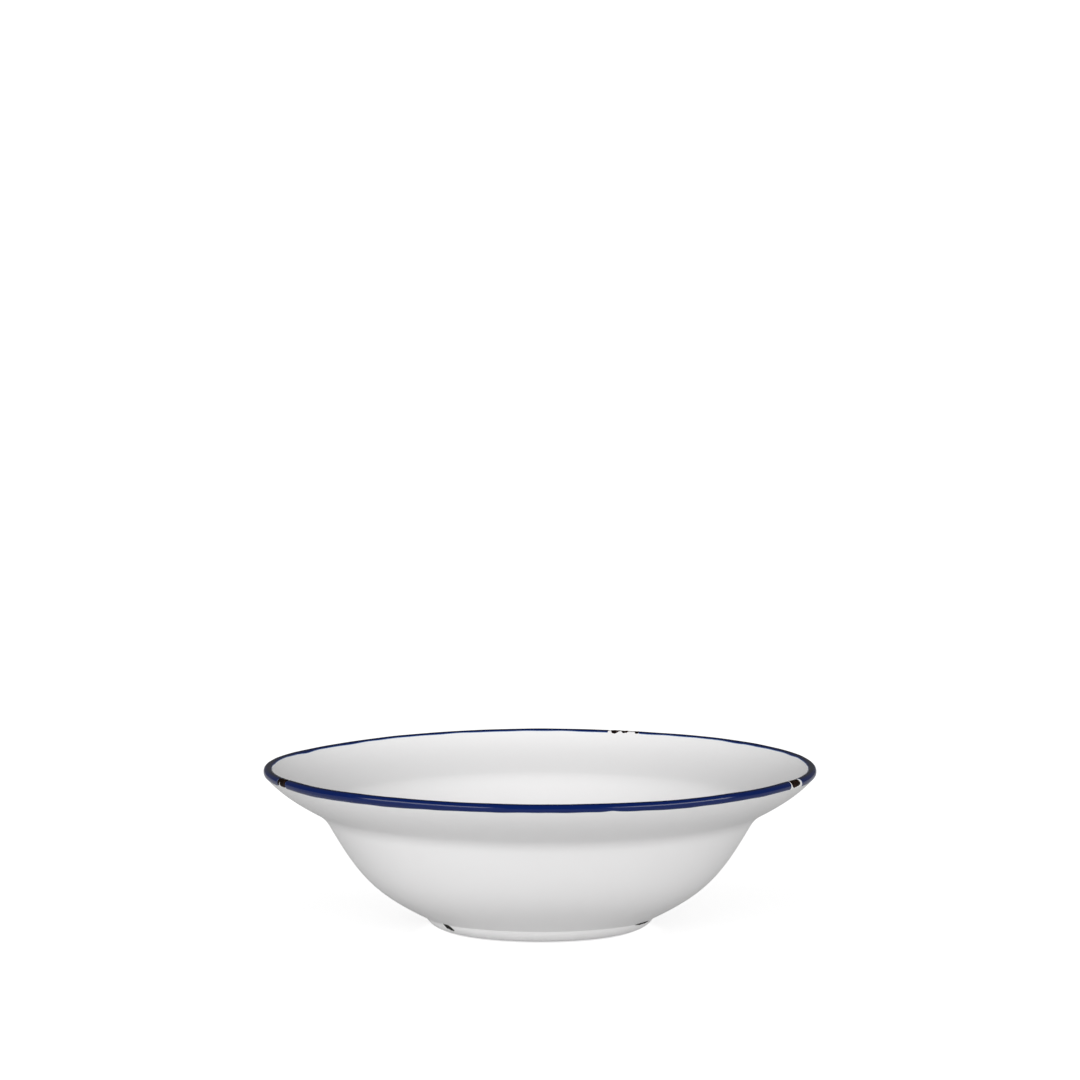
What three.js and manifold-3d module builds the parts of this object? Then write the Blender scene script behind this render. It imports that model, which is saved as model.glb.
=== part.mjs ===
// A low rimmed bowl of glazed ceramic that imitates chipped enamelware.
// A clay body stands on a clay foot ring. White glaze coats them inside, outside and under the base,
// and a blue glaze covers the rim. Brown and black marks lie where the glaze looks knocked off.
// Millimetres, +Z up. The origin is the middle of the ring that the bowl stands on, and -Y is the front.
import * as THREE from "three";
import { mergeVertices } from "three/addons/utils/BufferGeometryUtils.js";
import Module from "manifold-3d";

// The foot, measured on the glaze.
const FOOT_RADIUS = 41.3; // at the seam with the wall
const FOOT_HEIGHT = 5; // from the table to the seam
const FOOT_TUCK = 12; // how far the outer face curves in below the seam
const FOOT_FACE_SLOPE = degrees(62); // at the top of the outer face
const FOOT_SEAM_FILLET = 1;
const STANDING_WIDTH = 3; // the bare clay edge that touches the table
const RECESS_LEAN = 2; // how far the foot's inner face leans in on its way up
const RECESS_FILLET = 1.5;

// The well, from the foot seam up to the shoulder.
const WALL_SPREAD = 37.1; // outwards
const WALL_RISE = 37.1; // upwards
const WALL_TOP_TURN = degrees(14.9); // steeper at the shoulder than a straight wall
const WALL_FOOT_TURN = degrees(19); // flatter at the seam than a straight wall
const WALL_FULLNESS = 0.435; // share of the wall that keeps to each of those directions
const WALL_THICKNESS = 4;
const FLOOR_THICKNESS = 4.4; // from the foot seam to the floor inside
const FLOOR_RADIUS = 26; // the flat of the floor

// The flange, from the shoulder out to the rim.
const FLANGE_WIDTH = 21.6;
const FLANGE_RISE = 17.4;
const FLANGE_CURL = degrees(10.3); // flatter at the shoulder and steeper at the rim than a straight flange
const SHOULDER_FILLET = 14; // in the hollow outside
const SHOULDER_ROUND = 12; // over the edge inside
const RIM_THICKNESS = 3.3; // the edge is a full round

// The glaze and its clearances.
const GLAZE = 0.5;
const SEAT_GAP = 0.05; // between a coat and the clay under it, and between the two clay pieces
const EDGE_GAP = 0.3; // between two coats, and between a coat and the standing edge
const CHIP_DEPTH = 0.2; // how far a mark lies below the glaze around it
const CHIP_GAP = 0.3; // bare clay around a mark

// The marks in the rim, in turning order. Angles are from +X towards +Y.
const RIM_CHIPS = [
  { name: "right", angle: degrees(-22.6), length: 9 },
  { name: "back", angle: degrees(72.3), length: 11 },
  { name: "left", angle: degrees(201), length: 7 },
];
// The run of blue glaze that follows each of those marks.
const RIM_RUNS = ["right", "left", "front"];

// The marks on the foot. Drop is from the seam down to the mark's middle.
const FOOT_CHIPS = [
  { name: "left", angle: degrees(-141.7), drop: 0.9, length: 5, width: 1.4, tilt: degrees(-22) },
  { name: "right", angle: degrees(-27), drop: 0.3, length: 10, width: 0.9, tilt: degrees(0) },
];
const FOOT_CHIP_SIDES = 16;

const ARC_FULLNESS = 0.333; // makes a bowed curve close to an arc of a circle
const TINY = 1e-9; // for comparing numbers that should be equal

// How finely the round forms are cut into flats.
const FLATS = 48; // around the axis
const WALL_STEPS = 5;
const FLANGE_STEPS = 3;
const FILLET_STEPS = 2;
const RIM_STEPS = 6;
const FOOT_STEPS = 4;

const CLAY = material(0xece8df, 0.85);
const WHITE_GLAZE = material(0xf0efec, 0.12);
const BLUE_GLAZE = material(0x123078, 0.15);
const BROWN_CHIP = material(0x4a2b18, 0.55);
const BLACK_CHIP = material(0x211a17, 0.5);

const { Manifold, Mesh: ManifoldMesh } = await loadManifold();

// Places and slopes that follow from the driving dimensions, in the half section (radius, height).
const coatDepth = GLAZE + SEAT_GAP;
const rimEdge = RIM_THICKNESS / 2;
const seam = new THREE.Vector2(FOOT_RADIUS, FOOT_HEIGHT);
const shoulder = seam.clone().add(new THREE.Vector2(WALL_SPREAD, WALL_RISE));
const rimCentre = shoulder.clone().add(new THREE.Vector2(FLANGE_WIDTH - rimEdge, FLANGE_RISE - rimEdge));
const rimRadius = rimCentre.x + rimEdge;
const straightWall = Math.atan2(WALL_RISE, WALL_SPREAD);
const wallTopSlope = straightWall + WALL_TOP_TURN;
const wallFootSlope = straightWall - WALL_FOOT_TURN;
const straightFlange = rimCentre.clone().sub(shoulder).angle();
const flangeFootSlope = straightFlange - FLANGE_CURL;
const rimSlope = straightFlange + FLANGE_CURL;

// The glazed outline runs from the middle of the floor up the inside, over the rim, down the outside,
// across the standing edge and up into the recess, so that the clay is always on its right.
const insideLine = insideOutline();
const rimLine = rimOutline();
const outsideLine = outsideOutline();
const baseLine = baseOutline();
const outline = [...insideLine, ...rimLine, ...outsideLine, ...baseLine];
const rimStart = insideLine.length;
const outsideStart = rimStart + rimLine.length;
const baseStart = outsideStart + outsideLine.length;

const bowl = new THREE.Group();
bowl.name = "low_bowl";
addClay();
addWhiteGlaze();
addRim();

function degrees(angle) {
  return THREE.MathUtils.degToRad(angle);
}

function material(color, roughness) {
  return new THREE.MeshStandardMaterial({ color, roughness, metalness: 0 });
}

async function loadManifold() {
  const wasm = await Module();
  wasm.setup();
  return wasm;
}

function addPiece(name, geometry, look) {
  const piece = new THREE.Mesh(geometry, look);
  piece.name = name;
  bowl.add(piece);
}

function heading(angle) {
  return new THREE.Vector2(Math.cos(angle), Math.sin(angle));
}

// A smooth curve that leaves start and arrives at end along the given headings, without its first point.
function bowed(start, startAngle, end, endAngle, fullness, steps) {
  const reach = start.distanceTo(end) * fullness;
  const startHandle = start.clone().addScaledVector(heading(startAngle), reach);
  const endHandle = end.clone().addScaledVector(heading(endAngle), -reach);
  return new THREE.CubicBezierCurve(start, startHandle, endHandle, end).getPoints(steps).slice(1);
}

// The two ends and the corner of a fillet, for a line that arrives and leaves along the given headings.
function fillet(corner, arriving, leaving, radius) {
  const reach = radius * Math.tan(Math.abs(leaving - arriving) / 2);
  const start = corner.clone().addScaledVector(heading(arriving), -reach);
  const end = corner.clone().addScaledVector(heading(leaving), reach);
  return { start, corner, end };
}

// The points of a fillet after its start.
function filletPoints({ start, corner, end }) {
  return new THREE.QuadraticBezierCurve(start, corner, end).getPoints(FILLET_STEPS).slice(1);
}

// The floor, the well, the shoulder and the top of the flange.
function insideOutline() {
  const floorHeight = FOOT_HEIGHT + FLOOR_THICKNESS;
  const floorEdge = new THREE.Vector2(FLOOR_RADIUS, floorHeight);
  const middleSlope = (flangeFootSlope + wallTopSlope) / 2;
  const halfTurn = (wallTopSlope - flangeFootSlope) / 2;
  const inwards = heading(middleSlope + Math.PI / 2);
  const corner = shoulder.clone().addScaledVector(inwards, WALL_THICKNESS / Math.cos(halfTurn));
  const round = fillet(corner, wallTopSlope, flangeFootSlope, SHOULDER_ROUND);
  const rimEnd = rimCentre.clone().addScaledVector(heading(rimSlope + Math.PI / 2), rimEdge);
  return [
    new THREE.Vector2(0, floorHeight),
    floorEdge,
    ...bowed(floorEdge, 0, round.start, wallTopSlope, WALL_FULLNESS, WALL_STEPS),
    ...filletPoints(round),
    ...bowed(round.end, flangeFootSlope, rimEnd, rimSlope, ARC_FULLNESS, FLANGE_STEPS),
  ];
}

// The full round of the rim, with a gap to the white glaze at each end.
function rimOutline() {
  const gap = EDGE_GAP / rimEdge;
  const from = rimSlope + Math.PI / 2 - gap;
  const to = rimSlope - Math.PI / 2 + gap;
  const curve = new THREE.EllipseCurve(rimCentre.x, rimCentre.y, rimEdge, rimEdge, from, to, true);
  return curve.getPoints(RIM_STEPS);
}

// The underside of the flange, the shoulder, the wall and the outer face of the foot.
function outsideOutline() {
  const down = Math.PI; // added to a slope, because the line runs inwards here
  const rimEnd = rimCentre.clone().addScaledVector(heading(rimSlope - Math.PI / 2), rimEdge);
  const hollow = fillet(shoulder, flangeFootSlope + down, wallTopSlope + down, SHOULDER_FILLET);
  const crease = fillet(seam, wallFootSlope + down, FOOT_FACE_SLOPE + down, FOOT_SEAM_FILLET);
  const standing = new THREE.Vector2(FOOT_RADIUS - FOOT_TUCK, 0);
  return [
    rimEnd,
    ...bowed(rimEnd, rimSlope + down, hollow.start, flangeFootSlope + down, ARC_FULLNESS, FLANGE_STEPS),
    ...filletPoints(hollow),
    ...bowed(hollow.end, wallTopSlope + down, crease.start, wallFootSlope + down, WALL_FULLNESS, WALL_STEPS),
    ...filletPoints(crease),
    ...bowed(crease.end, FOOT_FACE_SLOPE + down, standing, down, ARC_FULLNESS, FOOT_STEPS),
  ];
}

// The foot's inner face and the roof of the recess, whose coat lies against the clay at the seam's height.
function baseOutline() {
  const roofHeight = FOOT_HEIGHT - coatDepth;
  const standing = new THREE.Vector2(FOOT_RADIUS - FOOT_TUCK - STANDING_WIDTH, 0);
  const corner = new THREE.Vector2(standing.x - RECESS_LEAN, roofHeight);
  const faceAngle = corner.clone().sub(standing).angle();
  const round = fillet(corner, faceAngle, Math.PI, RECESS_FILLET);
  return [standing, round.start, ...filletPoints(round), new THREE.Vector2(0, roofHeight)];
}

// The outline moved into the clay by a depth, with its corners mitred.
function sunk(depth) {
  return outline.map((point, i) => {
    const before = outline[Math.max(i - 1, 0)];
    const after = outline[Math.min(i + 1, outline.length - 1)];
    const arriving = (i > 0 ? point.clone().sub(before) : after.clone().sub(point)).normalize();
    const leaving = (after !== point ? after.clone().sub(point) : arriving.clone()).normalize();
    const along = arriving.clone().add(leaving).normalize();
    const intoClay = new THREE.Vector2(along.y, -along.x);
    return point.clone().addScaledVector(intoClay, depth / along.dot(leaving));
  });
}

// The closed section of a layer between two depths, over one stretch of the outline.
function layer(first, end, top, bottom) {
  const face = sunk(top).slice(first, end);
  const back = sunk(bottom).slice(first, end);
  return [...face, ...back.reverse()];
}

function pointAtHeight(a, b, height) {
  return a.clone().lerp(b, (height - a.y) / (b.y - a.y));
}

// A section point turned to an angle about the axis. All pieces share the same flats, so the back of a
// coat lies along the clay under it at every angle.
function turned(point, angle) {
  const flatAngle = (2 * Math.PI) / FLATS;
  const flat = Math.floor(angle / flatAngle + TINY);
  const share = angle / flatAngle - flat;
  const side = heading(flat * flatAngle).lerp(heading((flat + 1) * flatAngle), share);
  return [point.x * side.x, point.x * side.y, point.y];
}

// The angles from one end of a run to the other, with every flat's corner between them.
function stations(from, to) {
  const flatAngle = (2 * Math.PI) / FLATS;
  const least = flatAngle / 100;
  const corners = [];
  for (let i = Math.ceil(from / flatAngle); i * flatAngle < to; i++) {
    corners.push(i * flatAngle);
  }
  return [from, ...corners.filter((angle) => angle - from > least && to - angle > least), to];
}

// A closed section turned about the axis, all the way round or over a run with two end faces.
function turnSection(section, from, to) {
  const whole = from === undefined;
  const angles = whole ? stations(0, 2 * Math.PI).slice(0, -1) : stations(from, to);
  const profile = THREE.ShapeUtils.isClockWise(section) ? [...section].reverse() : section;
  const positions = [];
  const rows = profile.map((point) => {
    const onAxis = point.x < TINY;
    const first = positions.length / 3;
    const kept = onAxis ? angles.slice(0, 1) : angles;
    kept.forEach((angle) => positions.push(...turned(point, angle)));
    return (station) => (onAxis ? first : first + (station % angles.length));
  });
  const triangles = [];
  const addTriangle = (a, b, c) => {
    if (a !== b && b !== c && c !== a) triangles.push(a, b, c);
  };
  const spans = whole ? angles.length : angles.length - 1;
  rows.forEach((row, i) => {
    const next = rows[(i + 1) % rows.length];
    for (let station = 0; station < spans; station++) {
      addTriangle(row(station), row(station + 1), next(station + 1));
      addTriangle(row(station), next(station + 1), next(station));
    }
  });
  if (!whole) {
    THREE.ShapeUtils.triangulateShape(profile, []).forEach(([a, b, c]) => {
      addTriangle(rows[a](0), rows[b](0), rows[c](0));
      addTriangle(rows[a](spans), rows[c](spans), rows[b](spans));
    });
  }
  const geometry = new THREE.BufferGeometry();
  geometry.setAttribute("position", new THREE.Float32BufferAttribute(positions, 3));
  geometry.setIndex(triangles);
  return geometry;
}

function solidOf(geometry) {
  const bare = geometry.clone().deleteAttribute("normal").deleteAttribute("uv");
  const merged = mergeVertices(bare);
  const vertProperties = merged.getAttribute("position").array;
  const triVerts = new Uint32Array(merged.getIndex().array);
  return new Manifold(new ManifoldMesh({ numProp: 3, vertProperties, triVerts }));
}

function geometryOf(solid) {
  const mesh = solid.getMesh();
  const geometry = new THREE.BufferGeometry();
  geometry.setAttribute("position", new THREE.BufferAttribute(mesh.vertProperties, 3));
  geometry.setIndex(new THREE.BufferAttribute(mesh.triVerts, 1));
  return geometry;
}

// The body and the foot ring, which meet on a flat seam. A low edge of bare clay stands on the table.
function addClay() {
  const clay = sunk(coatDepth);
  const outer = clay[baseStart - 1];
  const inner = clay[baseStart];
  const standingEdge = [
    new THREE.Vector2(outer.x - EDGE_GAP, outer.y),
    new THREE.Vector2(outer.x - EDGE_GAP, 0),
    new THREE.Vector2(inner.x + EDGE_GAP, 0),
    new THREE.Vector2(inner.x + EDGE_GAP, inner.y),
  ];
  clay.splice(baseStart, 0, ...standingEdge);

  const lip = clay.findIndex((point) => point.y < FOOT_HEIGHT);
  const bodySection = [
    ...clay.slice(0, lip),
    pointAtHeight(clay[lip - 1], clay[lip], FOOT_HEIGHT),
    new THREE.Vector2(0, FOOT_HEIGHT),
  ];
  addPiece("bowl_body", turnSection(bodySection), CLAY);

  const ringTop = FOOT_HEIGHT - SEAT_GAP;
  const first = clay.findIndex((point) => point.y < ringTop);
  const last = clay.findLastIndex((point) => point.y < ringTop);
  const ringSection = [
    pointAtHeight(clay[first - 1], clay[first], ringTop),
    ...clay.slice(first, last + 1),
    pointAtHeight(clay[last], clay[last + 1], ringTop),
  ];
  addPiece("foot_ring", turnSection(ringSection), CLAY);
}

// The three white coats. The outside one has a window for each mark on the foot.
function addWhiteGlaze() {
  addPiece("inside_glaze", turnSection(layer(0, rimStart, 0, GLAZE)), WHITE_GLAZE);
  addPiece("base_glaze", turnSection(layer(baseStart, outline.length, 0, GLAZE)), WHITE_GLAZE);

  const markLayer = solidOf(turnSection(layer(outsideStart, baseStart, CHIP_DEPTH, GLAZE)));
  let coat = solidOf(turnSection(layer(outsideStart, baseStart, 0, GLAZE)));
  for (const chip of FOOT_CHIPS) {
    coat = coat.subtract(footChipPrism(chip, CHIP_GAP));
    const mark = markLayer.intersect(footChipPrism(chip, 0));
    addPiece("foot_chip_" + chip.name, geometryOf(mark), BLACK_CHIP);
  }
  addPiece("outside_glaze", geometryOf(coat), WHITE_GLAZE);
}

// An oval prism that points out through the foot at a mark, as long as the foot is tucked in, and grown
// all round by a margin.
function footChipPrism({ angle, drop, length, width, tilt }, margin) {
  const prism = new THREE.CylinderGeometry(1, 1, FOOT_TUCK, FOOT_CHIP_SIDES);
  prism.rotateX(Math.PI / 2);
  prism.scale(length / 2 + margin, width / 2 + margin, 1);
  prism.rotateZ(tilt);
  prism.rotateX(Math.PI / 2);
  prism.translate(0, -FOOT_RADIUS, FOOT_HEIGHT - drop);
  prism.rotateZ(angle + Math.PI / 2);
  return solidOf(prism);
}

// The runs of blue glaze around the rim and the marks between them.
function addRim() {
  const runSection = layer(rimStart, outsideStart, 0, GLAZE);
  const chipSection = layer(rimStart, outsideStart, CHIP_DEPTH, GLAZE);
  RIM_CHIPS.forEach((chip, i) => {
    const next = RIM_CHIPS[(i + 1) % RIM_CHIPS.length];
    const nextAngle = next.angle + (next.angle < chip.angle ? 2 * Math.PI : 0);
    const halfChip = chip.length / 2 / rimRadius;
    const halfNext = next.length / 2 / rimRadius;
    const gap = CHIP_GAP / rimRadius;
    const chipMark = turnSection(chipSection, chip.angle - halfChip, chip.angle + halfChip);
    addPiece("rim_chip_" + chip.name, chipMark, BROWN_CHIP);
    const run = turnSection(runSection, chip.angle + halfChip + gap, nextAngle - halfNext - gap);
    addPiece("rim_glaze_" + RIM_RUNS[i], run, BLUE_GLAZE);
  });
}

export default bowl;
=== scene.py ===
"""The looks of a low rimmed bowl of glazed ceramic that imitates chipped enamelware.

White glaze covers a clay body inside, outside and under the base. A blue band is painted over the rim,
with brown marks where it looks knocked off, and two dark marks lie on the seam of the foot.
Metres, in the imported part's frame: +Z up, -Y in front, and the origin in the middle of the standing ring.
"""

import math

import bpy
import numpy as np
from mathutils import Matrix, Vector


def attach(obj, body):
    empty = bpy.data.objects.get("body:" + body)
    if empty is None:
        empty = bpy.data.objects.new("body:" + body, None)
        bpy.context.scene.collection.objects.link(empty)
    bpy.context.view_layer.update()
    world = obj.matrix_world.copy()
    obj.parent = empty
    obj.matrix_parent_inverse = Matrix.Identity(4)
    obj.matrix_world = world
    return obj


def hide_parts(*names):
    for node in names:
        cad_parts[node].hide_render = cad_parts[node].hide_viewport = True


MM = 0.001

# The outline of the glaze in the half section, as in the part's solids.
FOOT_RADIUS = 41.3 * MM
FOOT_HEIGHT = 5 * MM
FOOT_TUCK = 12 * MM
FOOT_FACE_SLOPE = math.radians(62)
FOOT_SEAM_FILLET = 1 * MM
STANDING_WIDTH = 3 * MM
RECESS_LEAN = 2 * MM
RECESS_FILLET = 1.5 * MM
WALL_SPREAD = 37.1 * MM
WALL_RISE = 37.1 * MM
WALL_TOP_TURN = math.radians(14.9)
WALL_FOOT_TURN = math.radians(19)
WALL_FULLNESS = 0.435
WALL_THICKNESS = 4 * MM
FLOOR_THICKNESS = 4.4 * MM
FLOOR_RADIUS = 26 * MM
FLANGE_WIDTH = 21.6 * MM
FLANGE_RISE = 17.4 * MM
FLANGE_CURL = math.radians(10.3)
SHOULDER_FILLET = 14 * MM
SHOULDER_ROUND = 12 * MM
RIM_THICKNESS = 3.3 * MM
ARC_FULLNESS = 0.333

# The layers.
GLAZE = 0.5 * MM
SEAT_GAP = 0.05 * MM
PAINT = 0.11 * MM  # how far the blue stands above the white
PAINT_EDGE = 0.6 * MM  # over which the blue thins out to nothing
PAINT_SINK = 0.12 * MM  # how far a painted patch reaches into the white below it
PAINT_SEAT = 0.01 * MM  # how far the thin edge of the blue lies under the white's surface
CHIP_HEIGHT = 0.1 * MM  # how far a mark stands above the white
CHIP_LUMP = 0.45 * MM  # the size of a mark's lumps
CHIP_STRAY = 0.1 * MM  # how far a mark's ragged edge strays
TONGUE_BLEND = 0.8 * MM  # over which a run of blue widens from its tongue
RIM_WARP = 0.22 * MM  # how far the fired rim rises and dips all round

# Where the rim also rises or dips by itself: angle, rise and reach along the rim.
RIM_RISES = [
    (math.radians(148), -0.6 * MM, 34 * MM),
    (math.radians(50), 0.25 * MM, 20 * MM),
    (math.radians(-27), 0.3 * MM, 12 * MM),
    (math.radians(-60), -0.35 * MM, 24 * MM),
    (math.radians(-155), 0.25 * MM, 14 * MM),
]

# The blue band, in lengths along the outline from where the round of the rim begins inside.
BAND_INNER = -0.25 * MM
BAND_OUTER = 5.35 * MM
BAND_WOBBLE = 0.1 * MM

# Where the brush went wider or narrower: angle, extra width and reach along the rim.
INNER_SWELLS = [(math.radians(152), 0.45 * MM, 6 * MM)]
OUTER_SWELLS = [
    (math.radians(-145), 0.9 * MM, 26 * MM),
    (math.radians(-121), 0.85 * MM, 24 * MM),
    (math.radians(-75), -0.4 * MM, 2.5 * MM),
    (math.radians(-60), 0.4 * MM, 26 * MM),
]

# How finely the round forms are cut.
TURNS = 288
CURVE_STEPS = 24
ROUND_STEPS = 16
PATCH_ROWS = 15
PATCH_STEP = 0.5 * MM
FINE_STEP = 0.12 * MM
FINE_REACH = 12 * MM  # around a mark

SHARP_ANGLE = math.radians(50)

# The marks in the rim. Angles are from +X towards +Y. An outline holds (place along the rim, inner edge,
# outer edge) in millimetres, from the mark's middle and from where the round of the rim begins inside.
RIM_CHIPS = {
    "right": {
        "angle": math.radians(-22.6),
        "outline": [
            (-3.7, 2.1, 3.5), (-3.3, 1.6, 4.2), (-2.6, 1.3, 4.5), (-1.9, 1.15, 4.7), (-1.2, 1.1, 4.9),
            (-0.5, 1.15, 4.6), (0.4, 1.1, 4.8), (1.3, 1.2, 4.4), (2.2, 1.15, 4.6), (3.0, 1.2, 4.3),
            (3.7, 1.5, 4.2), (4.2, 2.1, 3.6),
        ],
    },
    "back": {
        "angle": math.radians(71.6),
        "outline": [
            (-5.9, 0.6, 1.8), (-5.6, -0.1, 1.9), (-4.5, 0.0, 1.95), (-4.1, 0.9, 1.95), (-2.8, 1.1, 1.9),
            (-1.6, 0.8, 1.95), (-1.1, 0.0, 1.9), (0.4, -0.1, 1.95), (0.9, 0.6, 1.9), (1.6, 0.85, 1.9),
            (2.2, 0.5, 1.95), (2.7, -0.2, 1.95), (3.6, -0.55, 1.9), (4.6, -0.4, 1.95), (5.1, 0.3, 1.9),
            (5.3, 1.2, 1.7),
        ],
    },
    "left": {
        "angle": math.radians(201),
        "outline": [
            (-4.05, 2.2, 4.6), (-3.7, 1.5, 4.9), (-2.6, 1.0, 4.9), (-2.1, 0.8, 4.6), (-1.9, 0.8, 3.6),
            (-1.5, 0.9, 3.5), (-1.2, 0.9, 4.6), (-0.6, 1.2, 5.0), (-0.1, 1.7, 5.1), (0.3, 1.6, 5.1),
            (0.9, 1.0, 5.1), (1.8, 0.6, 5.1), (2.7, 0.9, 5.1), (3.6, 1.6, 5.0), (4.05, 2.2, 4.5),
        ],
    },
}

# The runs of blue, each between two marks, and where they stop there. A tip is measured from the mark's
# middle and closes over its reach. Next to it, for the tongue's length, the run is only the tongue between
# two lengths across the rim.
RUNS = {"right": ("right", "back"), "left": ("back", "left"), "front": ("left", "right")}
FULL_BAND = (BAND_INNER, BAND_OUTER)
INNER_TONGUE = (BAND_INNER, 1.35 * MM)
OUTER_TONGUE = (2.05 * MM, BAND_OUTER)
RUN_ENDS = {
    ("right", "start"): {"tip": 4.3 * MM, "reach": 1 * MM, "tongue": INNER_TONGUE, "length": 1.3 * MM},
    ("right", "end"): {"tip": 5.7 * MM, "reach": 0.35 * MM, "tongue": FULL_BAND, "length": 0},
    ("left", "start"): {"tip": -6.6 * MM, "reach": 0.6 * MM, "tongue": OUTER_TONGUE, "length": 12.1 * MM},
    ("left", "end"): {"tip": 3.8 * MM, "reach": 0.6 * MM, "tongue": FULL_BAND, "length": 0},
    ("front", "start"): {"tip": 3.8 * MM, "reach": 0.6 * MM, "tongue": FULL_BAND, "length": 0},
    ("front", "end"): {"tip": -1.3 * MM, "reach": 1 * MM, "tongue": INNER_TONGUE, "length": 5.3 * MM},
}

# Places where the blue is thin and looks lighter: angle, length across the rim, size, and how thin it is.
THIN_SPOTS = [
    (math.radians(-133.2), 3.1 * MM, 0.4 * MM, 0.75),
    (math.radians(152), 1.8 * MM, 0.9 * MM, 0.4),
]

# The marks on the foot: angle, length along the outline below the seam, length and width of the mark, and
# how far it falls for each length along the foot.
FOOT_CHIPS = {
    "left": (math.radians(-144), 1.1 * MM, 5 * MM, 2.8 * MM, 0.4),
    "right": (math.radians(-25.5), 0.25 * MM, 12 * MM, 0.9 * MM, 0.0),
}

# The picture: the lower view in the photograph, from far away with a long lens.
CAMERA_ELEVATION = math.radians(8)  # as seen from the middle of the bowl
CAMERA_DISTANCE = 8.0
BOWL_MIDDLE = 45 * MM
FRAME_RISE = 96.3 * MM  # from the middle of the bowl up to the middle of the picture
FRAME_WIDTH = 391 * MM
SENSOR = 36.0

# The studio: a white floor and three soft lamps. A lamp's azimuth runs from the front towards +X, and its
# level is the share of white that it gives a white surface facing it.
STAGE_RADIUS = 3.6
STAGE_DROP = 0.2 * MM
PAPER_REACH = (34 * MM, 45 * MM)  # distances from the axis, between which the floor's whiteness changes
PAPER_WHITENESS = (0.95, 0.6)
GLOW_REACH = (60 * MM, 1.0)  # distances from the axis, between which the floor's glow changes
GLOW = (0.67, 0.95)
GLOW_IN_GLOSS = 0.08
AMBIENT = 0.355
AMBIENT_IN_GLOSS = 0.3  # as a share of the ambient light
LAMPS = {
    "softbox_left": {
        "azimuth": math.radians(-49),
        "elevation": math.radians(22),
        "distance": 1.6,
        "size": (1.6, 0.5),
        "level": 0.47,
        "in_gloss": True,
    },
    "softbox_right": {
        "azimuth": math.radians(59),
        "elevation": math.radians(22),
        "distance": 1.6,
        "size": (1.5, 0.5),
        "level": 0.44,
        "in_gloss": True,
    },
    "front_card": {
        "azimuth": math.radians(-6),
        "elevation": math.radians(9),
        "distance": 1.8,
        "size": (2.2, 0.4),
        "level": 0.38,
        "in_gloss": False,
    },
}

# Places and slopes that follow from the driving dimensions.
rim_edge = RIM_THICKNESS / 2
coat_depth = GLAZE + SEAT_GAP
seam = np.array((FOOT_RADIUS, FOOT_HEIGHT))
shoulder = seam + (WALL_SPREAD, WALL_RISE)
rim_centre = shoulder + (FLANGE_WIDTH - rim_edge, FLANGE_RISE - rim_edge)
rim_radius = rim_centre[0] + rim_edge
straight_wall = math.atan2(WALL_RISE, WALL_SPREAD)
wall_top_slope = straight_wall + WALL_TOP_TURN
wall_foot_slope = straight_wall - WALL_FOOT_TURN
straight_flange = math.atan2(FLANGE_RISE - rim_edge, FLANGE_WIDTH - rim_edge)
flange_foot_slope = straight_flange - FLANGE_CURL
rim_slope = straight_flange + FLANGE_CURL


def heading(angle):
    return np.array((math.cos(angle), math.sin(angle)))


def bowed(start, start_angle, end, end_angle, fullness):
    """A smooth curve from start to end along the given headings, without its first point."""
    reach = np.linalg.norm(end - start) * fullness
    start_handle = start + heading(start_angle) * reach
    end_handle = end - heading(end_angle) * reach
    t = np.linspace(0, 1, CURVE_STEPS + 1)[1:, None]
    from_start = (1 - t) ** 3 * start + 3 * (1 - t) ** 2 * t * start_handle
    return from_start + 3 * (1 - t) * t**2 * end_handle + t**3 * end


def fillet(corner, arriving, leaving, radius):
    """The rounded corner's points, for a line that arrives and leaves along the given headings."""
    reach = radius * math.tan(abs(leaving - arriving) / 2)
    start = corner - heading(arriving) * reach
    end = corner + heading(leaving) * reach
    t = np.linspace(0, 1, ROUND_STEPS + 1)[:, None]
    return (1 - t) ** 2 * start + 2 * (1 - t) * t * corner + t**2 * end


def inside_line():
    """From the middle of the floor up the well, over the shoulder and along the top of the flange."""
    floor_height = FOOT_HEIGHT + FLOOR_THICKNESS
    floor_edge = np.array((FLOOR_RADIUS, floor_height))
    middle_slope = (flange_foot_slope + wall_top_slope) / 2
    half_turn = (wall_top_slope - flange_foot_slope) / 2
    inwards = heading(middle_slope + math.pi / 2)
    corner = shoulder + inwards * WALL_THICKNESS / math.cos(half_turn)
    round_over = fillet(corner, wall_top_slope, flange_foot_slope, SHOULDER_ROUND)
    rim_start = rim_centre + heading(rim_slope + math.pi / 2) * rim_edge
    floor = np.linspace((0, floor_height), floor_edge, ROUND_STEPS + 1)
    well = bowed(floor_edge, 0, round_over[0], wall_top_slope, WALL_FULLNESS)
    flange = bowed(round_over[-1], flange_foot_slope, rim_start, rim_slope, ARC_FULLNESS)
    return np.vstack((floor, well, round_over[1:], flange))


def rim_arc(start, end):
    """The full round of the rim between two shares of its half turn, from the inside to the underside."""
    angles = rim_slope + math.pi / 2 - np.linspace(start, end, ROUND_STEPS + 1) * math.pi
    return rim_centre + rim_edge * np.column_stack((np.cos(angles), np.sin(angles)))


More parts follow.
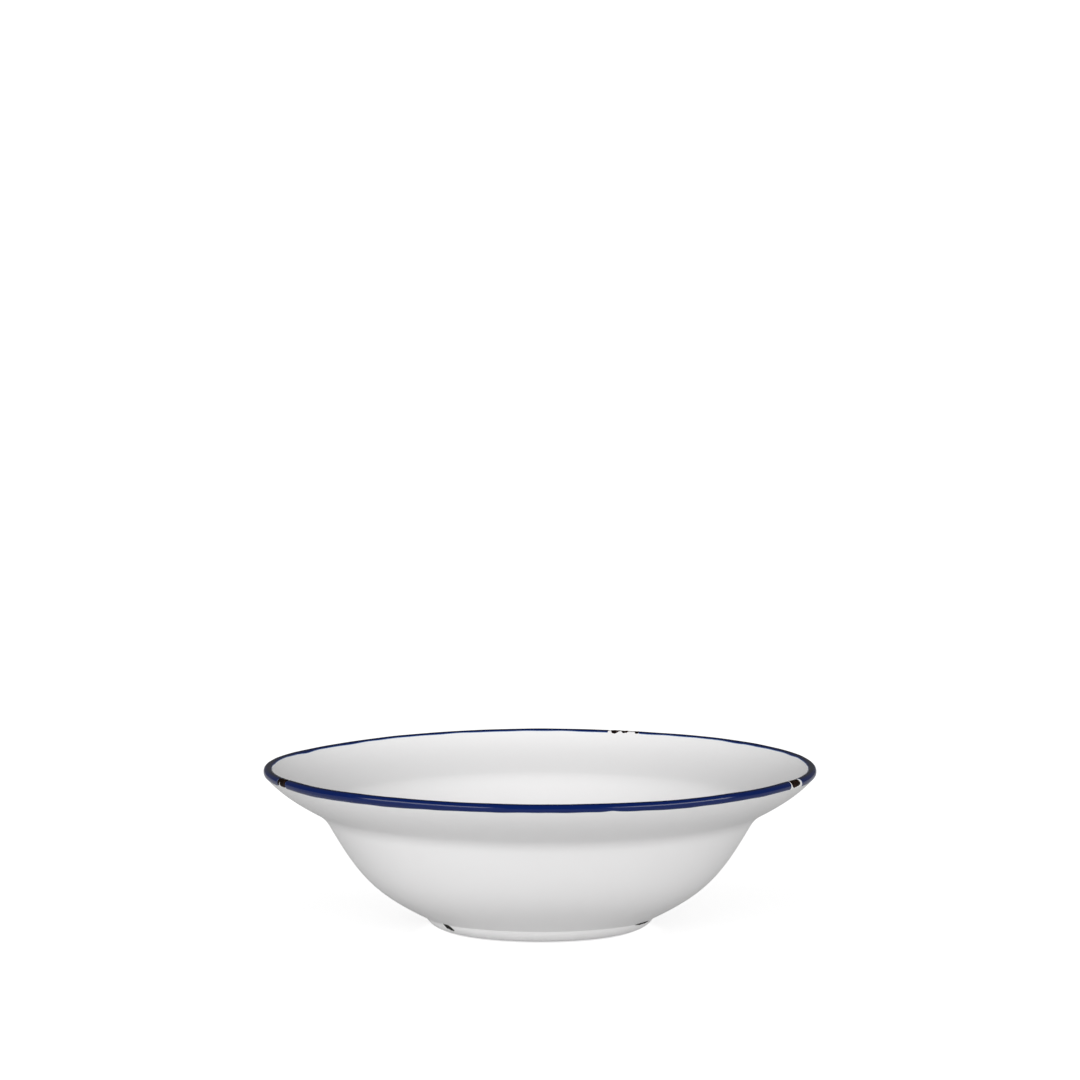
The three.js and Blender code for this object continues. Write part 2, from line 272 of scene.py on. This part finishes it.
def outside_line():
    """From the rim along the underside of the flange and down the wall and the foot's outer face."""
    down = math.pi
    rim_end = rim_centre + heading(rim_slope - math.pi / 2) * rim_edge
    hollow = fillet(shoulder, flange_foot_slope + down, wall_top_slope + down, SHOULDER_FILLET)
    crease = fillet(seam, wall_foot_slope + down, FOOT_FACE_SLOPE + down, FOOT_SEAM_FILLET)
    standing = np.array((FOOT_RADIUS - FOOT_TUCK, 0))
    flange = bowed(rim_end, rim_slope + down, hollow[0], flange_foot_slope + down, ARC_FULLNESS)
    wall = bowed(hollow[-1], wall_top_slope + down, crease[0], wall_foot_slope + down, WALL_FULLNESS)
    foot = bowed(crease[-1], FOOT_FACE_SLOPE + down, standing, down, ARC_FULLNESS)
    return np.vstack((rim_end, flange, hollow[1:], wall, crease[1:], foot))


def base_line():
    """From the standing edge up the foot's inner face and along the roof of the recess to the axis."""
    roof_height = FOOT_HEIGHT - coat_depth
    standing = np.array((FOOT_RADIUS - FOOT_TUCK - STANDING_WIDTH, 0))
    corner = np.array((standing[0] - RECESS_LEAN, roof_height))
    face_angle = math.atan2(roof_height, -RECESS_LEAN)
    round_in = fillet(corner, face_angle, math.pi, RECESS_FILLET)
    return np.vstack((standing, round_in, (0, roof_height)))


def outward_normals(line):
    """Unit normals of a half-section line that has the clay on its right."""
    along = np.gradient(line, axis=0)
    along /= np.linalg.norm(along, axis=1)[:, None]
    return np.column_stack((-along[:, 1], along[:, 0]))


def lengths(line):
    steps = np.linalg.norm(np.diff(line, axis=0), axis=1)
    return np.concatenate(((0,), np.cumsum(steps)))


def uneven(angle, waves, seed):
    """A smooth unevenness round the bowl, from about -1 to 1, that closes on itself."""
    phases = np.random.default_rng(seed).uniform(0, 2 * math.pi, len(waves))
    return sum(np.sin(wave * angle + phase) for wave, phase in zip(waves, phases)) / len(waves) ** 0.5


def smooth_step(x):
    x = np.clip(x, 0, 1)
    return x * x * (3 - 2 * x)


def near(angle, place, reach):
    """A soft bump round one place along the rim, over a reach in metres."""
    away = (angle - place + math.pi) % (2 * math.pi) - math.pi
    return np.exp(-((away * rim_radius / reach) ** 2))


def warped(points):
    """Points with the slow rise and dip of a fired rim, which fades towards the foot."""
    angle = np.arctan2(points[:, 1], points[:, 0])
    radius = np.hypot(points[:, 0], points[:, 1])
    rise = RIM_WARP * uneven(angle, (2, 3, 5), 4)
    for place, height, reach in RIM_RISES:
        rise += height * near(angle, place, reach)
    moved = points.copy()
    moved[:, 2] += rise * (radius / rim_radius) ** 4
    return moved


def add_piece(name, points, faces, look, node):
    mesh = bpy.data.meshes.new(name)
    mesh.from_pydata(warped(points).tolist(), [], faces)
    mesh.shade_smooth()
    mesh.set_sharp_from_angle(angle=SHARP_ANGLE)
    mesh.materials.append(look)
    piece = bpy.data.objects.new(name, mesh)
    bpy.context.scene.collection.objects.link(piece)
    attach(piece, "root")
    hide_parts(node)
    return piece


def turned_shell(face, back):
    """Points and faces of the closed section between two half-section lines, turned about the axis."""
    section = np.vstack((face, back[::-1]))
    angles = np.arange(TURNS) * 2 * math.pi / TURNS
    points = []
    rings = []
    for radius, height in section:
        first = len(points)
        if radius < 1e-9:
            points.append((0, 0, height))
            rings.append([first] * TURNS)
        else:
            points.extend((radius * math.cos(a), radius * math.sin(a), height) for a in angles)
            rings.append(list(range(first, first + TURNS)))
    faces = []
    for row, ring in enumerate(rings):
        following = rings[(row + 1) % len(rings)]
        for i in range(TURNS):
            j = (i + 1) % TURNS
            corners = list(dict.fromkeys((ring[i], following[i], following[j], ring[j])))
            if len(corners) > 2:
                faces.append(corners)
    return np.array(points), faces


def add_white_coat(name, line, look, node):
    """A coat of white glaze under a half-section line."""
    back = line - outward_normals(line) * GLAZE
    back[line[:, 0] < 1e-9, 0] = 0
    points, faces = turned_shell(line, back)
    add_piece(name, points, faces, look, node)


def add_clay_body(look):
    """The clay under the coats, down to the flat seam with the foot ring."""
    clay = rim_line - outward_normals(rim_line) * coat_depth
    clay[0, 0] = 0
    face = clay[clay[:, 1] > FOOT_HEIGHT]
    seam_face = np.array(((0, FOOT_HEIGHT), (face[-1, 0], FOOT_HEIGHT)))
    points, faces = turned_shell(face, seam_face)
    add_piece("clay_body", points, faces, look, "bowl_body")


def surface_at(line, zero, across, lift):
    """Radius and height at lengths across a half-section line, from its point number zero, lifted off it."""
    along = lengths(line)
    along -= along[zero]
    normals = outward_normals(line)
    radius = np.interp(across, along, line[:, 0]) + lift * np.interp(across, along, normals[:, 0])
    height = np.interp(across, along, line[:, 1]) + lift * np.interp(across, along, normals[:, 1])
    return radius, height


def painted_patch(line, zero, angles, low, high, lift):
    """A closed patch on a turned surface, between two edges across it at each angle.

    lift gives how far its top stands above the surface, from the angles, the lengths across and the distances
    inside the edges. These three come back with the points and faces.
    """
    share = (1 - np.cos(np.linspace(0, math.pi, PATCH_ROWS))) / 2
    across = low[:, None] + share[None] * (high - low)[:, None]
    turn = np.repeat(angles[:, None], PATCH_ROWS, axis=1)
    radius = np.interp(zero, range(len(line)), line[:, 0])
    from_ends = np.minimum(turn - angles[0], angles[-1] - turn) * radius
    inside = np.minimum(np.minimum(across - low[:, None], high[:, None] - across), from_ends)
    top_radius, top_height = surface_at(line, zero, across, lift(turn, across, inside))
    bottom_radius, bottom_height = surface_at(line, zero, across, np.full_like(across, -PAINT_SINK))
    top = np.stack((top_radius * np.cos(turn), top_radius * np.sin(turn), top_height), axis=2)
    bottom = np.stack((bottom_radius * np.cos(turn), bottom_radius * np.sin(turn), bottom_height), axis=2)
    points = np.vstack((top.reshape(-1, 3), bottom.reshape(-1, 3)))
    return points, patch_faces(len(angles)), (turn, across, inside)


def patch_faces(columns):
    """The faces of a patch's top, bottom and four sides."""
    under = columns * PATCH_ROWS
    last_row = PATCH_ROWS - 1
    faces = []
    for c in range(columns - 1):
        for r in range(last_row):
            a = c * PATCH_ROWS + r
            b = a + PATCH_ROWS
            faces.append((a, a + 1, b + 1, b))
            faces.append((under + a, under + b, under + b + 1, under + a + 1))
        a = c * PATCH_ROWS
        b = a + PATCH_ROWS
        faces.append((a, b, under + b, under + a))
        faces.append((a + last_row, under + a + last_row, under + b + last_row, b + last_row))
    end = (columns - 1) * PATCH_ROWS
    for r in range(last_row):
        faces.append((r, under + r, under + r + 1, r + 1))
        faces.append((end + r, end + r + 1, under + end + r + 1, under + end + r))
    return faces


def rounded_edge(inside):
    """The share of a layer's full height at a distance inside its edge, round like a bead of glaze."""
    short = 1 - np.clip(inside / PAINT_EDGE, 0, 1)
    return np.sqrt(1 - short**2)


def run_angles(start, end):
    """Angles along a run of blue, closer together near its ends."""
    fine = FINE_REACH / rim_radius
    fine_steps = int(FINE_REACH / FINE_STEP)
    middle_steps = int((end - start - 2 * fine) * rim_radius / PATCH_STEP)
    near_start = np.linspace(start, start + fine, fine_steps, endpoint=False)
    middle = np.linspace(start + fine, end - fine, middle_steps, endpoint=False)
    near_end = np.linspace(end - fine, end, fine_steps + 1)
    return np.concatenate((near_start, middle, near_end))


def band_edges(angles):
    """The inner and outer edges of the hand-painted band, before the marks break it."""
    inner = BAND_INNER + BAND_WOBBLE * uneven(angles, (7, 11, 19, 31, 47), 11)
    outer = BAND_OUTER + BAND_WOBBLE * uneven(angles, (5, 9, 17, 29, 53), 23)
    for place, width, reach in INNER_SWELLS:
        inner -= width * near(angles, place, reach)
    for place, width, reach in OUTER_SWELLS:
        outer += width * near(angles, place, reach)
    return inner, outer


def close_end(inner, outer, from_tip, end):
    """Band edges drawn in to the tongue and the round tip of one end of a run."""
    blend = smooth_step((from_tip - end["length"]) / TONGUE_BLEND)
    low, high = end["tongue"]
    inner = inner + (1 - blend) * (np.maximum(low, inner) - inner)
    outer = outer + (1 - blend) * (np.minimum(high, outer) - outer)
    short = 1 - np.clip(from_tip / end["reach"], 0, 1)
    kept = np.maximum(np.sqrt(1 - short**2), 0.2)
    middle = (inner + outer) / 2
    return middle + (inner - middle) * kept, middle + (outer - middle) * kept


def blue_lift(turn, across, inside):
    brushed = 1 + 0.25 * uneven(turn, (13, 21, 34), 31)
    return PAINT * rounded_edge(inside) * brushed - PAINT_SEAT


def blue_depth(turn, across, inside):
    """How deep the blue has pooled, from 0 at its edges to 1."""
    depth = np.clip(inside / PAINT_EDGE, 0, 1)
    for angle, place, size, thinness in THIN_SPOTS:
        depth = depth - thinness * near(turn, angle, size) * np.exp(-(((across - place) / size) ** 2))
    return np.clip(depth, 0, 1)


def add_run(name, look):
    """One run of the blue band, between two marks."""
    first, last = (RIM_CHIPS[chip]["angle"] for chip in RUNS[name])
    if last < first:
        last += 2 * math.pi
    start_end = RUN_ENDS[(name, "start")]
    last_end = RUN_ENDS[(name, "end")]
    start = first + start_end["tip"] / rim_radius
    end = last - last_end["tip"] / rim_radius
    angles = run_angles(start, end)
    inner, outer = band_edges(angles)
    inner, outer = close_end(inner, outer, (angles - start) * rim_radius, start_end)
    inner, outer = close_end(inner, outer, (end - angles) * rim_radius, last_end)
    points, faces, places = painted_patch(rim_line, rim_zero, angles, inner, outer, blue_lift)
    piece = add_piece("rim_blue_" + name, points, faces, look, "rim_glaze_" + name)
    depth = blue_depth(*places).ravel()
    pooled = piece.data.attributes.new("pooled", "FLOAT", "POINT")
    pooled.data.foreach_set("value", np.concatenate((depth, depth)).astype(np.float32))


def chip_lift(turn, across, inside):
    lumps = uneven(turn, (157, 263, 401), 5) * np.sin(across / CHIP_LUMP + 1)
    return CHIP_HEIGHT * rounded_edge(inside) * (1 + 0.4 * lumps)


def add_rim_chip(name, look):
    """One brown mark, with its ragged outline."""
    chip = RIM_CHIPS[name]
    place, inner, outer = np.array(chip["outline"]).T * MM
    along = np.linspace(place[0], place[-1], int((place[-1] - place[0]) / FINE_STEP))
    angles = chip["angle"] + along / rim_radius
    ragged = CHIP_STRAY * uneven(angles, (223, 379, 541), 8)
    low = np.interp(along, place, inner) + ragged
    high = np.interp(along, place, outer) - ragged / 2
    points, faces, _ = painted_patch(rim_line, rim_zero, angles, low, high, chip_lift)
    add_piece("rim_mark_" + name, points, faces, look, "rim_chip_" + name)


def add_foot_chip(name, look):
    """One dark mark on the foot, pointed at both ends."""
    angle, across, length, width, fall = FOOT_CHIPS[name]
    half = length / 2
    along = np.linspace(-half, half, int(length / FINE_STEP))
    angles = angle + along / FOOT_RADIUS
    ragged = 1 + 0.2 * uneven(angles, (61, 113, 179), 3)
    thick = width / 2 * np.maximum(1 - np.abs(along / half) ** 3, 0.05) * ragged
    middle = across + fall * along
    points, faces, _ = painted_patch(outside, foot_zero, angles, middle - thick, middle + thick, chip_lift)
    add_piece("foot_mark_" + name, points, faces, look, "foot_chip_" + name)


def new_material(name):
    look = bpy.data.materials.new(name)
    look.use_nodes = True
    shader = look.node_tree.nodes["Principled BSDF"]
    return look, look.node_tree, shader


def noise(tree, scale, detail):
    """A noise pattern fixed to the piece. The scale is in features to a metre."""
    place = tree.nodes.new("ShaderNodeTexCoord")
    pattern = tree.nodes.new("ShaderNodeTexNoise")
    pattern.inputs["Scale"].default_value = scale
    pattern.inputs["Detail"].default_value = detail
    tree.links.new(place.outputs["Object"], pattern.inputs["Vector"])
    return pattern.outputs["Fac"]


def ramp(tree, factor, stops):
    """Colours at places from 0 to 1 of a factor."""
    node = tree.nodes.new("ShaderNodeValToRGB")
    elements = node.color_ramp.elements
    while len(elements) < len(stops):
        elements.new(0.5)
    for element, (place, colour) in zip(elements, stops):
        element.position = place
        element.color = (*colour, 1)
    tree.links.new(factor, node.inputs["Fac"])
    return node.outputs["Color"]


def map_range(tree, factor, source, target):
    """A factor carried from one range to another, and held at its ends."""
    node = tree.nodes.new("ShaderNodeMapRange")
    node.inputs["From Min"].default_value, node.inputs["From Max"].default_value = source
    node.inputs["To Min"].default_value, node.inputs["To Max"].default_value = target
    tree.links.new(factor, node.inputs["Value"])
    return node.outputs["Result"]


def spread(tree, pattern, low, high):
    """The middle of a noise pattern's range, carried to a range of values."""
    return map_range(tree, pattern, (0.3, 0.7), (low, high))


def bump(tree, shader, factor, strength, height):
    node = tree.nodes.new("ShaderNodeBump")
    node.inputs["Strength"].default_value = strength
    node.inputs["Distance"].default_value = height
    tree.links.new(factor, node.inputs["Height"])
    tree.links.new(node.outputs["Normal"], shader.inputs["Normal"])


def white_glaze():
    look, tree, shader = new_material("white_glaze")
    mottle = noise(tree, 16, 1)
    tint = ramp(tree, mottle, [(0.3, (0.85, 0.846, 0.846)), (0.7, (0.858, 0.852, 0.852))])
    tree.links.new(tint, shader.inputs["Base Color"])
    tree.links.new(spread(tree, noise(tree, 90, 2), 0.29, 0.34), shader.inputs["Roughness"])
    bump(tree, shader, noise(tree, 45, 0), 0.05, 0.3 * MM)
    return look


def blue_glaze():
    look, tree, shader = new_material("blue_glaze")
    pooled = tree.nodes.new("ShaderNodeAttribute")
    pooled.attribute_name = "pooled"
    depth = [
        (0.0, (0.66, 0.73, 0.82)),
        (0.22, (0.3, 0.39, 0.56)),
        (0.4, (0.02, 0.055, 0.19)),
        (0.6, (0.001, 0.014, 0.105)),
        (1.0, (0.0002, 0.01, 0.088)),
    ]
    blue = ramp(tree, pooled.outputs["Fac"], depth)
    # Painted shade: where the blue faces up, its colour is mixed towards near-black navy, standing in for the
    # dark reflection of the space above the bowl.
    side = tree.nodes.new("ShaderNodeNewGeometry")
    height = tree.nodes.new("ShaderNodeSeparateXYZ")
    painted_crest_shade = tree.nodes.new("ShaderNodeMix")
    painted_crest_shade.data_type = "RGBA"
    painted_crest_shade.inputs["B"].default_value = (0.0001, 0.002, 0.02, 1)
    tree.links.new(side.outputs["Normal"], height.inputs["Vector"])
    tree.links.new(map_range(tree, height.outputs["Z"], (0.75, 1.0), (0.0, 0.9)), painted_crest_shade.inputs["Factor"])
    tree.links.new(blue, painted_crest_shade.inputs["A"])
    tree.links.new(painted_crest_shade.outputs["Result"], shader.inputs["Base Color"])
    tree.links.new(spread(tree, noise(tree, 120, 2), 0.13, 0.19), shader.inputs["Roughness"])
    shader.inputs["Specular IOR Level"].default_value = 0.38
    bump(tree, shader, noise(tree, 160, 2), 0.2, 0.2 * MM)
    return look


def brown_chip():
    look, tree, shader = new_material("brown_chip")
    rust = noise(tree, 900, 4)
    colours = [(0.35, (0.002, 0.002, 0.0015)), (0.5, (0.008, 0.003, 0.002)), (0.65, (0.035, 0.013, 0.008))]
    tree.links.new(ramp(tree, rust, colours), shader.inputs["Base Color"])
    tree.links.new(spread(tree, noise(tree, 600, 2), 0.4, 0.7), shader.inputs["Roughness"])
    shader.inputs["Specular IOR Level"].default_value = 0.06
    bump(tree, shader, rust, 0.6, 0.15 * MM)
    return look


def black_chip():
    look, tree, shader = new_material("black_chip")
    burnt = noise(tree, 900, 3)
    colours = [(0.35, (0.003, 0.003, 0.003)), (0.7, (0.015, 0.012, 0.01))]
    tree.links.new(ramp(tree, burnt, colours), shader.inputs["Base Color"])
    tree.links.new(spread(tree, burnt, 0.35, 0.6), shader.inputs["Roughness"])
    shader.inputs["Specular IOR Level"].default_value = 0.06
    return look


def bare_clay():
    look, tree, shader = new_material("bare_clay")
    grain = noise(tree, 1500, 4)
    colours = [(0.3, (0.7, 0.64, 0.54)), (0.7, (0.82, 0.77, 0.69))]
    tree.links.new(ramp(tree, grain, colours), shader.inputs["Base Color"])
    tree.links.new(spread(tree, grain, 0.75, 0.95), shader.inputs["Roughness"])
    bump(tree, shader, grain, 0.3, 0.1 * MM)
    return look


def math_node(tree, operation, *inputs):
    """The result of one sum. An input is a number or another node's output."""
    node = tree.nodes.new("ShaderNodeMath")
    node.operation = operation
    for socket, value in zip(node.inputs, inputs):
        if isinstance(value, bpy.types.NodeSocket):
            tree.links.new(value, socket)
        else:
            socket.default_value = value
    return node.outputs["Value"]


def studio_paper():
    """White paper that glows for the camera and keeps the bowl's shadow. From below it is clear."""
    look = bpy.data.materials.new("studio_floor")
    look.use_nodes = True
    tree = look.node_tree
    tree.nodes.clear()
    output = tree.nodes.new("ShaderNodeOutputMaterial")
    paper = tree.nodes.new("ShaderNodeBsdfDiffuse")
    glow = tree.nodes.new("ShaderNodeEmission")
    lit = tree.nodes.new("ShaderNodeAddShader")
    clear = tree.nodes.new("ShaderNodeBsdfTransparent")
    both = tree.nodes.new("ShaderNodeMixShader")
    rays = tree.nodes.new("ShaderNodeLightPath")
    place = tree.nodes.new("ShaderNodeNewGeometry")
    away = tree.nodes.new("ShaderNodeVectorMath")
    away.operation = "LENGTH"
    tree.links.new(place.outputs["Position"], away.inputs[0])
    whiteness = map_range(tree, away.outputs["Value"], PAPER_REACH, PAPER_WHITENESS)
    seen_glow = map_range(tree, away.outputs["Value"], GLOW_REACH, GLOW)
    seen = math_node(tree, "MAXIMUM", rays.outputs["Is Camera Ray"], rays.outputs["Is Transmission Ray"])
    gloss_glow = math_node(tree, "MULTIPLY", rays.outputs["Is Glossy Ray"], GLOW_IN_GLOSS)
    strength = math_node(tree, "MULTIPLY_ADD", seen, seen_glow, gloss_glow)
    tree.links.new(whiteness, paper.inputs["Color"])
    tree.links.new(strength, glow.inputs["Strength"])
    tree.links.new(paper.outputs["BSDF"], lit.inputs[0])
    tree.links.new(glow.outputs["Emission"], lit.inputs[1])
    tree.links.new(place.outputs["Backfacing"], both.inputs["Fac"])
    tree.links.new(lit.outputs["Shader"], both.inputs[1])
    tree.links.new(clear.outputs["BSDF"], both.inputs[2])
    tree.links.new(both.outputs["Shader"], output.inputs["Surface"])
    return look


def add_floor():
    bpy.ops.mesh.primitive_circle_add(
        vertices=128, radius=STAGE_RADIUS, fill_type="NGON", location=(0, 0, -STAGE_DROP)
    )
    floor = bpy.context.object
    floor.name = "studio_floor"
    floor.data.materials.append(studio_paper())


def add_lamp(name, azimuth, elevation, distance, size, level, in_gloss):
    """A soft lamp that faces the bowl."""
    level_distance = math.cos(elevation)
    direction = Vector((
        math.sin(azimuth) * level_distance,
        -math.cos(azimuth) * level_distance,
        math.sin(elevation),
    ))
    lamp = bpy.data.lights.new(name, "AREA")
    lamp.shape = "RECTANGLE"
    lamp.size, lamp.size_y = size
    lamp.energy = level * math.pi**2 * distance**2
    holder = bpy.data.objects.new(name, lamp)
    holder.location = direction * distance
    holder.rotation_euler = direction.to_track_quat("Z", "Y").to_euler()
    holder.visible_glossy = in_gloss
    bpy.context.scene.collection.objects.link(holder)


def add_world():
    """Even light from all round, and less of it in reflections."""
    world = bpy.data.worlds.new("studio")
    world.use_nodes = True
    tree = world.node_tree
    sky = tree.nodes["Background"]
    sky.inputs["Color"].default_value = (AMBIENT, AMBIENT, AMBIENT, 1)
    rays = tree.nodes.new("ShaderNodeLightPath")
    strength = map_range(tree, rays.outputs["Is Glossy Ray"], (0, 1), (1, AMBIENT_IN_GLOSS))
    tree.links.new(strength, sky.inputs["Strength"])
    bpy.context.scene.world = world


def add_camera():
    """The camera of the photograph's lower view, where the bowl stands low in the picture."""
    back = Vector((0, -math.cos(CAMERA_ELEVATION), math.sin(CAMERA_ELEVATION)))
    up = Vector((0, math.sin(CAMERA_ELEVATION), math.cos(CAMERA_ELEVATION)))
    middle = Vector((0, 0, BOWL_MIDDLE))
    camera = bpy.data.cameras.new("camera")
    camera.sensor_width = SENSOR
    camera.lens = SENSOR * CAMERA_DISTANCE / FRAME_WIDTH
    camera.clip_end = 100
    holder = bpy.data.objects.new("camera", camera)
    holder.location = middle + back * CAMERA_DISTANCE
    aim = middle + up * FRAME_RISE - holder.location
    holder.rotation_euler = aim.to_track_quat("-Z", "Y").to_euler()
    bpy.context.scene.collection.objects.link(holder)
    bpy.context.scene.camera = holder


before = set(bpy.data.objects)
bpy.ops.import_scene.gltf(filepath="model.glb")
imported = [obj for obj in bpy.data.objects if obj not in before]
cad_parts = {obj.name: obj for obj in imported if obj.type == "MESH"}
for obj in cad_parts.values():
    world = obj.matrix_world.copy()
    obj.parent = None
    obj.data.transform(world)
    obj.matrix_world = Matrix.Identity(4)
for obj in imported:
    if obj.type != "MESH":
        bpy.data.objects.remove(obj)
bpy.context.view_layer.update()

inside = np.vstack((inside_line(), rim_arc(0, 0.5)[1:]))
outside = np.vstack((rim_arc(0.5, 1)[:-1], outside_line()))
base = base_line()
rim_line = np.vstack((inside_line(), rim_arc(0, 1)[1:], outside_line()[1:]))
rim_zero = len(inside_line()) - 1
foot_zero = int(np.argmin(np.linalg.norm(outside - seam, axis=1)))

white = white_glaze()
blue = blue_glaze()
brown = brown_chip()
black = black_chip()
clay = bare_clay()

add_clay_body(clay)
add_white_coat("white_inside", inside, white, "inside_glaze")
add_white_coat("white_outside", outside, white, "outside_glaze")
add_white_coat("white_base", base, white, "base_glaze")
for run in RUNS:
    add_run(run, blue)
for chip in RIM_CHIPS:
    add_rim_chip(chip, brown)
for chip in FOOT_CHIPS:
    add_foot_chip(chip, black)
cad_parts["foot_ring"].data.materials.clear()
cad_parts["foot_ring"].data.materials.append(clay)

add_floor()
for name, lamp in LAMPS.items():
    add_lamp(name, **lamp)
add_world()
add_camera()

bpy.context.scene.view_settings.view_transform = "Standard"
